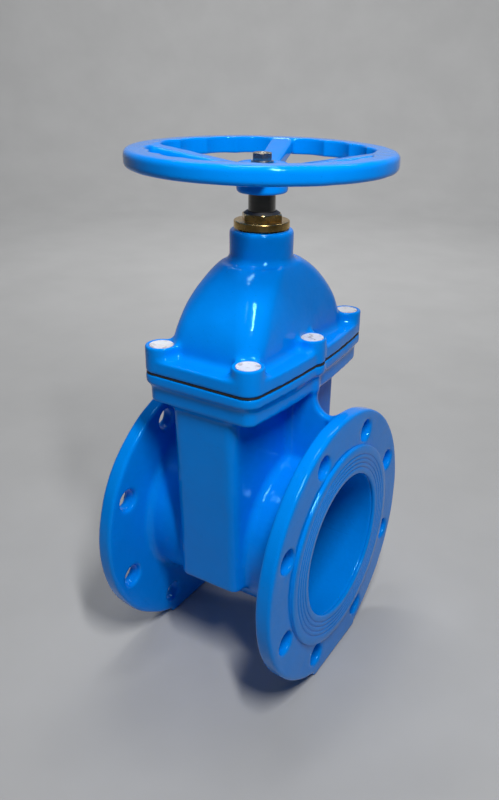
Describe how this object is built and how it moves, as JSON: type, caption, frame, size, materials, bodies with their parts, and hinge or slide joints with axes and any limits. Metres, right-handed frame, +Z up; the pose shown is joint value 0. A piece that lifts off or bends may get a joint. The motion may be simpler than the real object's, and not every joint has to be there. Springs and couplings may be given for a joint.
{
  "type": "gate valve",
  "caption": "Flanged gate valve with a rubber-lined wedge, a stem that turns without rising, a domed bolted bonnet and a spoked handwheel.",
  "frame": {"origin": "on the ground under the stem axis, midway between the feet of the two flanges; the pipe axis is 139.5 mm above it", "axes": "+X along the pipe, +Y across the valve, +Z up the stem towards the handwheel"},
  "size_m": [0.2512, 0.285, 0.5305],
  "materials": {
    "blue_epoxy": "glossy fused epoxy over ductile iron",
    "black_rubber": "matte EPDM",
    "zinc_steel": "zinc plated",
    "seal_wax": "poured wax, smooth and slightly dished",
    "gland_brass": "turned and polished",
    "stem_stainless": "turned stainless steel",
    "nylon": "moulded guide plastic",
    "ductile_iron": "as cast",
    "washer_bronze": "turned bronze"
  },
  "bodies": {
    "housing": {"body": "blue_epoxy", "bonnet": "blue_epoxy", "bonnet_gasket": "black_rubber", "bonnet_bolts": "zinc_steel", "bolt_seal_plugs": "seal_wax", "lower_thrust_washer": "washer_bronze", "upper_thrust_washer": "washer_bronze", "stem_bush": "nylon", "back_seal_ring": "black_rubber", "gland_nut": "gland_brass", "gland_inner_o_rings": "black_rubber", "gland_outer_o_rings": "black_rubber", "wiper_ring": "black_rubber"},
    "stem": {"stem": "stem_stainless", "handwheel": "blue_epoxy", "handwheel_washer": "zinc_steel", "handwheel_bolt": "zinc_steel"},
    "wedge": {"wedge_core": "ductile_iron", "wedge_lining": "black_rubber", "wedge_guide_shoes": "nylon", "stem_nut": "gland_brass"}
  },
  "joints": [
    {"name": "stem_spin", "type": "hinge", "parent": "housing", "child": "stem", "pos_m": [0, 0, 0.49], "axis": [0, 0, 1], "range_deg": [0, 9180]},
    {"name": "wedge_lift", "type": "slide", "parent": "housing", "child": "wedge", "axis": [0, 0, 1], "range_m": [0, 0.1535]}
  ],
  "couplings": [
    {"joint": "wedge_lift", "follows": "stem_spin", "m_per_rad": 0.00095493}
  ]
}
